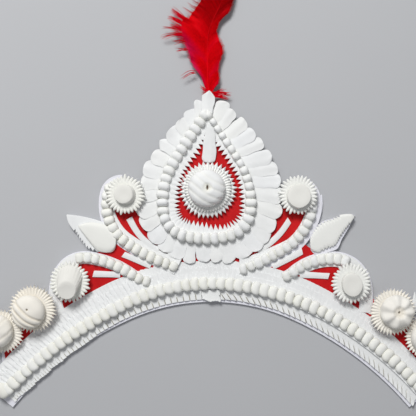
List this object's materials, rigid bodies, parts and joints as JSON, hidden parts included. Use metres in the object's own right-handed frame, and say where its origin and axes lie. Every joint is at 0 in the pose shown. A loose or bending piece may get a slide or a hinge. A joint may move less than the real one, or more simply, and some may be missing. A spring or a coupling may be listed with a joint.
{
  "type": "bridal mukut crown of carved shola pith",
  "caption": "Flat arched bridal crown: white carved pith beads, petals and rosettes on a red-faced card, with a red feather at the tip.",
  "frame": {"origin": "on the back of the card, in the middle of the arched band, where the crown rests on the brow", "axes": "+Z out of the decorated face, +Y from the brow to the feather, +X to the viewer's right; the crown lies on its back"},
  "size_m": [0.3341, 0.3291, 0.0198],
  "materials": {
    "card": "stiff white card, matt, cut edge",
    "red_paper": "matt red paper",
    "white_pith": "dry white shola pith, velvety and matt",
    "cream_pith": "dry cream shola pith, velvety and matt",
    "feather": "dyed red feather, soft sheen"
  },
  "bodies": {
    "root": {"band_beads": "white_pith", "card_base": "card", "centre_disc": "white_pith", "centre_dome": "cream_pith", "comb_lap": "white_pith", "comb_lower_left": "white_pith", "comb_lower_right": "white_pith", "comb_middle": "white_pith", "comb_upper": "white_pith", "drop_backing": "white_pith", "drop_beads": "white_pith", "drop_ground": "red_paper", "drop_saw": "white_pith", "end_sliver": "white_pith", "inner_end_rosette_dome_left": "cream_pith", "inner_end_rosette_dome_right": "cream_pith", "inner_end_rosette_left": "cream_pith", "inner_end_rosette_right": "cream_pith", "inner_petal": "white_pith", "leaf_back_left": "white_pith", "leaf_back_right": "white_pith", "leaf_front_left": "white_pith", "leaf_front_right": "white_pith", "lower_beads_left": "white_pith", "lower_beads_right": "white_pith", "lower_rosette_button_left": "white_pith", "lower_rosette_button_right": "white_pith", "lower_rosette_left": "white_pith", "lower_rosette_right": "white_pith", "lower_scroll_left": "white_pith", "lower_scroll_right": "white_pith", "lower_stick_left": "white_pith", "lower_stick_right": "white_pith", "middle_stick_left": "white_pith", "middle_stick_right": "white_pith", "outer_end_rosette_dome_left": "cream_pith", "outer_end_rosette_dome_right": "cream_pith", "outer_end_rosette_left": "cream_pith", "outer_end_rosette_right": "cream_pith", "petals_over": "white_pith", "petals_under": "white_pith", "plume": "feather", "red_ground": "red_paper", "tip_petal": "white_pith", "upper_beads_left": "white_pith", "upper_beads_right": "white_pith", "upper_rosette_button_left": "white_pith", "upper_rosette_button_right": "white_pith", "upper_rosette_left": "white_pith", "upper_rosette_right": "white_pith", "upper_scroll_left": "white_pith", "upper_scroll_right": "white_pith", "upper_stick_left": "white_pith", "upper_stick_right": "white_pith"}
  },
  "joints": []
}
